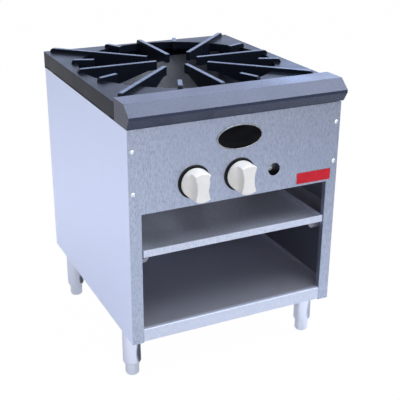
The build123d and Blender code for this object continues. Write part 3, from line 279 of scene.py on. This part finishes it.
finishes = {
    steel: ["front_panel"],
    sidePaintedLightSteel: ["side_panel_left", "side_panel_right"],
    trimSteel: ["tray_runner_left", "tray_runner_right", "cabinet_floor"],
    traySteel: ["drip_tray"],
    innerSteel: ["back_panel", "burner_support_front", "burner_support_rear", "air_shutter_left",
                 "air_shutter_right", "pilot_bracket", "pipe_straps", "leg_gussets"],
    cast: ["top_grate"],
    railCoat: ["front_rail"],
    legSteel: [f"{kind}_{end}_{side}" for kind in ("leg", "foot") for end in ("front", "rear")
               for side in ("left", "right")],
    whiteKnob: ["knob_left", "knob_right"],
    blackPlasticAndShade: ["bezel_left", "bezel_right"],
    badgeBlack: ["oval_badge"],
    brightRim: ["badge_rim_ring"],
    redEnamel: ["red_strip"],
    iron: ["manifold_pipe", "manifold_cap", "pipe_elbow", "supply_pipe", "burner_outer", "burner_inner"],
    brass: ["gas_valve_left", "gas_valve_right", "orifice_hood_left", "orifice_hood_right"],
    drawnTube: ["pilot_tube", "pilot_valve", "pilot_screw"],
    fixing: ["panel_screws", "back_screws", "rail_bolts", "leg_nuts", "valve_stem_left", "valve_stem_right",
             "pilot_burner"],
}
for material, names in finishes.items():
    for name in names:
        nodes[name].data.materials.clear()
        nodes[name].data.materials.append(material)
print("finishes on", sum(map(len, finishes.values())), "pieces")


# modelling helpers
doublesWithin = 0.00001


def begin(name, primitive, **place):  # a primitive at its size and place, with nothing else selected
    bpy.ops.object.select_all(action="DESELECT")
    primitive(**place)
    piece = bpy.context.object
    piece.name = name
    bpy.ops.object.transform_apply(location=True, rotation=True, scale=True)
    return piece


def inEditMode(piece, mode="FACE"):  # with nothing selected
    bpy.ops.object.select_all(action="DESELECT")
    piece.select_set(True)
    bpy.context.view_layer.objects.active = piece
    bpy.ops.object.mode_set(mode="EDIT")
    bpy.ops.mesh.select_mode(type=mode)
    bpy.ops.mesh.select_all(action="DESELECT")


def outOfEditMode():
    bpy.ops.object.mode_set(mode="OBJECT")


def pick(piece, kind, test):  # selects faces, edges or vertices by their place
    mesh = bmesh.from_edit_mesh(piece.data)
    for part in (mesh.verts, mesh.edges, mesh.faces):
        for item in part:
            item.select_set(False)
    for item in getattr(mesh, kind):
        if test(item):
            item.select_set(True)
    bmesh.update_edit_mesh(piece.data)


def applyModifier(piece, kind, **settings):
    bpy.ops.object.select_all(action="DESELECT")
    piece.select_set(True)
    bpy.context.view_layer.objects.active = piece
    modifier = piece.modifiers.new("Step", kind)
    for name, value in settings.items():
        setattr(modifier, name, value)
    bpy.ops.object.modifier_apply(modifier=modifier.name)


def breakEdges(piece, width, segments=2, limit=25):  # bevels every edge that turns more than the limit
    applyModifier(piece, "BEVEL", width=width, segments=segments, limit_method="ANGLE",
                  angle_limit=radians(limit), miter_outer="MITER_ARC")


def drawLine(name, points):  # one vertex, drawn from point to point
    piece = begin(name, bpy.ops.mesh.primitive_plane_add, size=0.01)
    inEditMode(piece, "VERT")
    bpy.ops.mesh.select_all(action="SELECT")
    bpy.ops.mesh.merge(type="CENTER")
    bpy.ops.transform.translate(value=points[0])
    for here, there in zip(points, points[1:]):
        bpy.ops.mesh.extrude_vertices_move(TRANSFORM_OT_translate={"value": Vector(there) - Vector(here)})
    return piece


def turn(name, profile, centre, axis, steps):  # (radius, height) pairs drawn, then spun round the axis
    side = Vector((1, 0, 0))
    piece = drawLine(name, [centre + side * radius + axis * height for radius, height in profile])
    bpy.ops.mesh.select_all(action="SELECT")
    bpy.ops.mesh.spin(steps=steps, angle=2 * pi, center=centre, axis=axis)
    bpy.ops.mesh.select_all(action="SELECT")
    bpy.ops.mesh.remove_doubles(threshold=doublesWithin)
    bpy.ops.mesh.normals_make_consistent(inside=False)
    outOfEditMode()
    return piece


def settle(piece, material, slot, body, *replaced, smooth=35):  # doubles, normals, shading, finish and body
    inEditMode(piece, "VERT")
    bpy.ops.mesh.select_all(action="SELECT")
    bpy.ops.mesh.remove_doubles(threshold=doublesWithin)
    bpy.ops.mesh.normals_make_consistent(inside=False)
    outOfEditMode()
    bpy.ops.object.shade_smooth_by_angle(angle=radians(smooth))
    applyModifier(piece, "WEIGHTED_NORMAL", keep_sharp=True, weight=50)  # keeps wide faces flat
    piece.data.materials.clear()
    piece.data.materials.append(material)
    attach(piece, body)
    if replaced:
        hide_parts(*replaced)
    return piece


def anotherOf(piece, name, move):  # a copy with its own mesh
    copy = piece.copy()
    copy.data = piece.data.copy()
    copy.name = name
    copy.data.transform(Matrix.Translation(move))
    bpy.context.scene.collection.objects.link(copy)
    return copy


def joined(pieces):  # one piece out of several
    bpy.ops.object.select_all(action="DESELECT")
    for piece in pieces:
        piece.select_set(True)
    bpy.context.view_layer.objects.active = pieces[0]
    bpy.ops.object.join()
    return pieces[0]


def pushFaces(piece, test, inset, move):  # insets the picked faces, then extrudes them
    inEditMode(piece)
    pick(piece, "faces", test)
    if inset:
        bpy.ops.mesh.inset(thickness=inset)
    bpy.ops.mesh.extrude_region_move(TRANSFORM_OT_translate={"value": move})
    outOfEditMode()


def carve(piece, tool):  # cuts the tool's shape out of the piece
    applyModifier(piece, "BOOLEAN", operation="DIFFERENCE", solver="EXACT", object=tool)
    bpy.data.objects.remove(tool)


# pieces that keep the frame's shape, with their edges broken to a width
softEdges = {
    "top_grate": {"width": 0.0010, "finish": cast, "slot": "cast_top", "body": "grate",
                  "raised": (0.5550, 0.2248, 0.0025)},  # what lies this low and this far out, and its lift
    "front_rail": {"width": 0.0009, "finish": railCoat, "slot": "rail"},
    "front_panel": {"width": 0.0005, "finish": steel, "slot": "stainless"},
    "side_panel_left": {"width": 0.0005, "finish": sidePaintedLightSteel, "slot": "stainless",
                        "fold": (0.0022, lambda p: p.x < -0.2284 and p.z > 0.5522)},
    "side_panel_right": {"width": 0.0005, "finish": sidePaintedLightSteel, "slot": "stainless",
                         "fold": (0.0022, lambda p: p.x > 0.2284 and p.z > 0.5522)},
    "back_panel": {"width": 0.0004, "finish": innerSteel, "slot": "inner_steel"},
    "cabinet_floor": {"width": 0.0005, "finish": trimSteel, "slot": "inner_steel",
                      "fold": (0.0022, lambda p: p.y < -0.2493 and p.z > 0.1366)},
    "tray_runner_left": {"width": 0.0004, "finish": trimSteel, "slot": "inner_steel"},
    "tray_runner_right": {"width": 0.0004, "finish": trimSteel, "slot": "inner_steel"},
    **{foot: {"width": 0.0005, "finish": legSteel, "slot": "leg_steel", "body": foot}
       for foot in ("foot_front_left", "foot_front_right", "foot_rear_left", "foot_rear_right")},
    "burner_outer": {"width": 0.0008, "finish": iron, "slot": "burner_iron"},
    "burner_inner": {"width": 0.0008, "finish": iron, "slot": "burner_iron"},
}


def roundedCopy(node, look):
    piece = nodes[node].copy()
    piece.data = nodes[node].data.copy()
    piece.name = node + "Soft"
    bpy.context.scene.collection.objects.link(piece)
    inEditMode(piece, "VERT")
    bpy.ops.mesh.select_all(action="SELECT")
    bpy.ops.mesh.remove_doubles(threshold=0.00002)
    bpy.ops.mesh.dissolve_limited(angle_limit=radians(1))
    if "raised" in look:  # lifts the lower edge of the skirt off the side panels
        height, outside, lift = look["raised"]
        pick(piece, "verts", lambda v: abs(v.co.z - height) < near and abs(v.co.x) > outside)
        bpy.ops.transform.translate(value=(0, 0, lift))
    if "fold" in look:  # the rounded bend of a folded sheet
        radius, onFold = look["fold"]
        bpy.ops.mesh.select_mode(type="EDGE")
        pick(piece, "edges", lambda e: all(onFold(v.co) for v in e.verts))
        bpy.ops.mesh.bevel(offset=radius, segments=4)
    outOfEditMode()
    breakEdges(piece, look["width"])
    return settle(piece, look["finish"], look["slot"], look.get("body", "range"), node)


for node, look in softEdges.items():
    roundedCopy(node, look)
print("edges broken on", len(softEdges), "pieces")


# knobs: a round body with sloped sides, and a grip left between two round scoops
knobValues = {
    "radius": 0.0295, "length": 0.0365, "z": 0.4335, "x": {"left": -0.096, "right": 0.0015},
    "standOff": 0.0035, "frontRound": 0.0022, "backRound": 0.0030, "edge": 0.0008,
    "boreRadius": 0.0041, "boreDepth": 0.0183,
    # distance from the axis and height in front of the back, along one side
    "slope": ((0.0310, 0.0040), (0.0212, 0.0148), (0.0200, 0.0400), (0.0400, 0.0400), (0.0400, 0.0040)),
    "halfCut": 0.04, "scoopCentre": 0.075, "scoopSteps": 240,
    "scoop": ((0.0450, 0.0146), (0.0212, 0.0146), (0.0150, 0.0160), (0.0124, 0.0172), (0.0112, 0.0190),
              (0.0105, 0.0220), (0.0103, 0.0260), (0.0106, 0.0310), (0.0114, 0.0400), (0.0450, 0.0400)),
}


def addKnobs(values):
    back = panelFace - values["standOff"]
    x, z = values["x"]["left"], values["z"]
    front = back - values["length"]
    knob = begin("knobLeftCap", bpy.ops.mesh.primitive_cylinder_add, vertices=128, radius=values["radius"],
                 depth=values["length"], location=(x, (back + front) / 2, z), rotation=(pi / 2, 0, 0))
    for end, width in ((front, values["frontRound"]), (back, values["backRound"])):
        inEditMode(knob, "EDGE")
        pick(knob, "edges", lambda e: all(abs(v.co.y - end) < near for v in e.verts))
        bpy.ops.mesh.bevel(offset=width, segments=4)
        outOfEditMode()
    pushFaces(knob, lambda f: f.normal.y > 0.99,
              values["radius"] - values["backRound"] - values["boreRadius"], (0, -values["boreDepth"], 0))
    centre = values["scoopCentre"]
    for turned in (-1, 1):
        tool = drawLine("slopeCut", [(x + turned * away, back - high, z - values["halfCut"])
                                     for away, high in values["slope"]])
        bpy.ops.mesh.select_all(action="SELECT")
        bpy.ops.mesh.edge_face_add()
        bpy.ops.mesh.extrude_region_move(TRANSFORM_OT_translate={"value": (0, 0, 2 * values["halfCut"])})
        bpy.ops.mesh.select_all(action="SELECT")
        bpy.ops.mesh.normals_make_consistent(inside=False)
        outOfEditMode()
        carve(knob, tool)
        profile = [(centre - away, high) for away, high in (*values["scoop"], values["scoop"][0])]
        tool = turn("scoopCut", profile, Vector((x + turned * centre, back, z)), Vector((0, -1, 0)),
                    values["scoopSteps"])
        carve(knob, tool)
    breakEdges(knob, values["edge"], segments=3, limit=40)
    other = anotherOf(knob, "knobRightCap", (values["x"]["right"] - x, 0, 0))
    settle(knob, whiteKnob, "knob_white", "control_left", "knob_left")
    settle(other, whiteKnob, "knob_white", "control_right", "knob_right")


# the black ring round each knob is partly the bezel and partly painted shade: its outer radius is sized so
# that it also stands for the knob's shadow and dark reflection on the panel
bezelAndShadeValues = {
    "z": knobValues["z"], "x": knobValues["x"], "steps": 96,
    "profile": ((0.0065, 0), (0.0338, 0), (0.0338, 0.0006), (0.0333, 0.0013), (0.0324, 0.0018),
                (0.0310, 0.0020), (0.0297, 0.0018), (0.0288, 0.0012), (0.0280, 0.0010), (0.0065, 0.0010),
                (0.0065, 0)),
}


def addBezelsAndShade(values):
    for side, x in values["x"].items():
        bezel = turn(f"bezel{side.title()}Ring", values["profile"], Vector((x, panelFace, values["z"])),
                     Vector((0, -1, 0)), values["steps"])
        settle(bezel, blackPlasticAndShade, "bezel_black", "range", f"bezel_{side}")


addKnobs(knobValues)
addBezelsAndShade(bezelAndShadeValues)
print("knobs and bezels modelled")


# badge in its rim, and the red plate
badgeValues = {
    "centre": (0, 0.510), "halfWidth": 0.0495, "halfHeight": 0.0255, "rimWidth": 0.0026, "rimHeight": 0.0020,
    "floor": 0.0004, "plate": 0.0003, "edge": 0.0006,
    "dome": ((0.0006, 0.985), (0.0004, 0.94), (0.0002, 0.80), (0.0001, 0.55)),  # (step out, size after it)
}


def addBadge(values):
    x, z = values["centre"]
    wide, high, rim = values["halfWidth"], values["halfHeight"], values["rimWidth"]
    ring = begin("badgeRim", bpy.ops.mesh.primitive_cylinder_add, vertices=128, radius=1,
                 depth=values["rimHeight"], rotation=(pi / 2, 0, 0), scale=(wide, high, 1),
                 location=(x, panelFace - values["rimHeight"] / 2, z))
    isFront = lambda f: f.normal.y < -0.9
    pushFaces(ring, isFront, rim, (0, values["rimHeight"] - values["floor"], 0))
    breakEdges(ring, values["edge"], segments=3, limit=40)
    settle(ring, brightRim, "badge_rim", "range", "badge_rim_ring")

    plate = begin("badgePlate", bpy.ops.mesh.primitive_cylinder_add, vertices=128, radius=1,
                  depth=values["plate"], rotation=(pi / 2, 0, 0), scale=(wide - rim, high - rim, 1),
                  location=(x, panelFace - values["floor"] - values["plate"] / 2, z))
    size = 1
    for out, share in values["dome"]:
        inEditMode(plate)
        pick(plate, "faces", isFront)
        bpy.ops.mesh.extrude_region_move(TRANSFORM_OT_translate={"value": (0, -out, 0)})
        bpy.ops.transform.resize(value=(share / size, 1, share / size), center_override=(x, panelFace, z))
        outOfEditMode()
        size = share
    settle(plate, badgeBlack, "badge_black", "range", "oval_badge", smooth=60)


stripValues = {
    "low": (0.132, 0.389), "high": (0.213, 0.414), "thick": 0.0010, "corner": 0.0022, "border": 0.0007,
    "sunk": 0.0003, "edge": 0.00015,
}


def addStrip(values):
    (x0, z0), (x1, z1), thick = values["low"], values["high"], values["thick"]
    strip = begin("redPlate", bpy.ops.mesh.primitive_cube_add, size=1, scale=(x1 - x0, thick, z1 - z0),
                  location=((x0 + x1) / 2, panelFace - thick / 2, (z0 + z1) / 2))
    inEditMode(strip, "EDGE")
    pick(strip, "edges", lambda e: abs(e.verts[0].co.y - e.verts[1].co.y) > thick / 2)
    bpy.ops.mesh.bevel(offset=values["corner"], segments=5)
    outOfEditMode()
    pushFaces(strip, lambda f: f.normal.y < -0.9, values["border"], (0, values["sunk"], 0))
    breakEdges(strip, values["edge"], limit=40)
    settle(strip, redEnamel, "strip_red", "range", "red_strip")
    strip.data.materials.append(brightRim)
    field = panelFace - thick + values["sunk"]
    for face in strip.data.polygons:  # all but the sunk red field is bright
        if face.center.y < field - near / 2 or face.normal.y > -0.9:
            face.material_index = 1


addBadge(badgeValues)
addStrip(stripValues)
print("badge and red plate modelled")


# screws
panelScrewValues = {
    "places": [(x, z) for x in (-0.2196, 0.2196) for z in (0.4271, 0.5102)],
    "profile": ((0, 0.0026), (0.0014, 0.0025), (0.0027, 0.0021), (0.0037, 0.0014), (0.0044, 0.0006),
                (0.0046, 0), (0.0021, 0), (0.0021, -0.0080), (0, -0.0080)),
    "steps": 32, "slot": (0.0050, 0.0009, 0.0010),  # length, width and depth of the crossed slots
}


def addPanelScrews(values):
    x, z = values["places"][0]
    screw = turn("panelScrewHeads", values["profile"], Vector((x, panelFace, z)), Vector((0, -1, 0)),
                 values["steps"])
    top = panelFace - values["profile"][0][1]
    long, wide, deep = values["slot"]
    for size in ((long, deep * 2, wide), (wide, deep * 2, long)):
        carve(screw, begin("slotCut", bpy.ops.mesh.primitive_cube_add, size=1, scale=size,
                           location=(x, top, z)))
    others = [anotherOf(screw, "screwCopy", (px - x, 0, pz - z)) for px, pz in values["places"][1:]]
    settle(joined([screw, *others]), fixing, "fixings", "range", "panel_screws")


addPanelScrews(panelScrewValues)
print("screws modelled")


# drip tray: a shallow pan
trayValues = {
    "low": (-0.202, -0.2495, 0.2947), "high": (0.202, 0.2405, 0.3093), "sheet": 0.0012, "edge": 0.0004,
}


def addTray(values):
    low, high = Vector(values["low"]), Vector(values["high"])
    sheet = values["sheet"]
    tray = begin("dripPan", bpy.ops.mesh.primitive_cube_add, size=1, scale=high - low,
                 location=(low + high) / 2)
    pushFaces(tray, lambda f: f.normal.z > 0.9, sheet, (0, 0, sheet - (high.z - low.z)))
    breakEdges(tray, values["edge"], segments=3, limit=40)
    settle(tray, traySteel, "inner_steel", "tray", "drip_tray")


addTray(trayValues)
print("tray modelled")


# legs
legValues = {
    "x": 0.207595, "y": {"front": -0.1859, "rear": 0.1903}, "steps": 72,
    "profile": ((0.0160, 0.0262), (0.0164, 0.0260), (0.0169, 0.0264), (0.0190, 0.0313), (0.01905, 0.0325),
                (0.01905, 0.1215), (0.0186, 0.1230), (0.0172, 0.1230), (0.0172, 0.0340), (0.0160, 0.0300),
                (0.0160, 0.0262)),
}


def addLegs(values):
    x, y = values["x"], values["y"]["front"]
    leg = turn("legFrontLeft", values["profile"], Vector((-x, y, 0)), Vector((0, 0, 1)), values["steps"])
    for end, there in values["y"].items():
        for side, across in (("left", -x), ("right", x)):
            copy = leg
            if (end, side) != ("front", "left"):
                copy = anotherOf(leg, f"leg{end.title()}{side.title()}", (across + x, there - y, 0))
            settle(copy, legSteel, "leg_steel", "range", f"leg_{end}_{side}")


addLegs(legValues)
print("legs modelled")


# floor, backdrop and light
studioValues = {
    "floorSize": 16,
    "floorColour": (0.88, 0.89, 0.91),
    "floorRough": 0.8,
    "floorSeen": 0.99,  # share of plain white that the camera sees
    "floorMirrored": 0.42,  # and that reflections see
    "shadeAt": (0.145, -0.030),  # reflections see the floor dark beside each leg, this far from it,
    "shadeHalf": (0.080, 0.050),  # over this half width and half depth,
    "shadeSoft": 0.025,  # with edges this soft,
    "shadeMost": {-1: 0.9, 1: 0.5},  # this much beside the left legs and the right ones,
    "shadeColour": (0.05, 0.055, 0.07),
    "fallX": (0.30, 1.10),  # and a little darker far to the right
    "fallMost": 0.42,
    "worldColour": (0.90, 0.93, 1.0),
    "worldStrength": 0.34,
    "boxes": {  # place, target, size, power and colour
        "topBox": ((0.75, -0.7, 2.4), (0, 0, 0.45), (2.3, 1.6), 74, (0.88, 0.93, 1.0)),
        "leftBox": ((-2.0, -0.3, 1.4), (0, 0, 0.35), (1.4, 1.4), 8, (1.0, 1.0, 1.0)),
        "frontBox": ((-0.4, -2.6, 1.5), (0, 0, 0.35), (1.6, 1.0), 7, (1.0, 1.0, 1.0)),
        "backBox": ((2.05, 1.75, 1.2), (0.1, 0, 0.6), (1.3, 0.9), 9, (0.42, 0.58, 1.0)),
        "rearBox": ((0.95, 2.4, 1.25), (0, 0, 0.6), (1.6, 0.9), 5, (0.26, 0.44, 1.0)),
    },
}


def addFloor(values):
    floor = begin("paleFloor", bpy.ops.mesh.primitive_plane_add, size=values["floorSize"])
    material, tree, shader = newMaterial("paleFloor")
    shader.inputs["Base Color"].default_value = (*values["floorColour"], 1)
    shader.inputs["Roughness"].default_value = values["floorRough"]
    seen = addNode(tree, "ShaderNodeLightPath").outputs
    white = addNode(tree, "ShaderNodeEmission", {"Color": (1, 1, 1, 1), "Strength": 1.0}).outputs[0]
    dark = addNode(tree, "ShaderNodeEmission", {"Color": (*values["shadeColour"], 1),
                                                "Strength": 1.0}).outputs[0]
    place = addNode(tree, "ShaderNodeSeparateXYZ", {0: objectPlace(tree)}).outputs
    shade, soft = 0, values["shadeSoft"]
    for side, most in values["shadeMost"].items():
        legX = side * legValues["x"]
        for legY in legValues["y"].values():
            patch = most
            for axis, middle, half in (("X", legX + values["shadeAt"][0], values["shadeHalf"][0]),
                                       ("Y", legY + values["shadeAt"][1], values["shadeHalf"][1])):
                away = maths(tree, "ABSOLUTE", maths(tree, "SUBTRACT", place[axis], middle))
                patch = maths(tree, "MULTIPLY", patch, spread(tree, away, 1, 0, half, half + soft))
            shade = maths(tree, "MAXIMUM", shade, patch)
    falling = spread(tree, place["X"], 0, values["fallMost"], *values["fallX"])
    shade = maths(tree, "MAXIMUM", shade, falling)
    mirrored = maths(tree, "MULTIPLY", seen["Is Glossy Ray"], values["floorMirrored"])
    mirroredDark = maths(tree, "MULTIPLY", seen["Is Glossy Ray"], shade)
    straight = maths(tree, "MULTIPLY", seen["Is Camera Ray"], values["floorSeen"])
    mixed = shader.outputs[0]
    for share, look in ((mirrored, white), (mirroredDark, dark), (straight, white)):
        mixed = addNode(tree, "ShaderNodeMixShader", {0: share, 1: mixed, 2: look}).outputs[0]
    tree.links.new(mixed, tree.nodes["Material Output"].inputs["Surface"])
    floor.data.materials.append(material)


def addWorld(values):
    world = bpy.data.worlds.new("studio")
    bpy.context.scene.world = world
    world.use_nodes = True
    tree = world.node_tree
    soft = tree.nodes["Background"]
    soft.inputs["Color"].default_value = (*values["worldColour"], 1)
    soft.inputs["Strength"].default_value = values["worldStrength"]
    seen = addNode(tree, "ShaderNodeLightPath").outputs
    share = maths(tree, "MAXIMUM", seen["Is Camera Ray"], seen["Is Glossy Ray"])
    share = maths(tree, "MAXIMUM", share, seen["Is Transmission Ray"])
    white = addNode(tree, "ShaderNodeBackground", {"Color": (1, 1, 1, 1), "Strength": 1.0}).outputs[0]
    mixed = addNode(tree, "ShaderNodeMixShader", {0: share, 1: soft.outputs[0], 2: white}).outputs[0]
    tree.links.new(mixed, tree.nodes["World Output"].inputs["Surface"])


def addSoftBox(name, place, target, size, power, colour):
    light = bpy.data.lights.new(name, "AREA")
    light.shape = "RECTANGLE"
    light.size, light.size_y = size
    light.energy = power
    light.color = colour
    lamp = bpy.data.objects.new(name, light)
    lamp.location = place
    lamp.rotation_mode = "QUATERNION"
    lamp.rotation_quaternion = (Vector(target) - Vector(place)).to_track_quat("-Z", "Y")
    bpy.context.scene.collection.objects.link(lamp)


addFloor(studioValues)
addWorld(studioValues)
for name, box in studioValues["boxes"].items():
    addSoftBox(name, *box)
bpy.context.scene.view_settings.view_transform = "Standard"
print("studio lit")
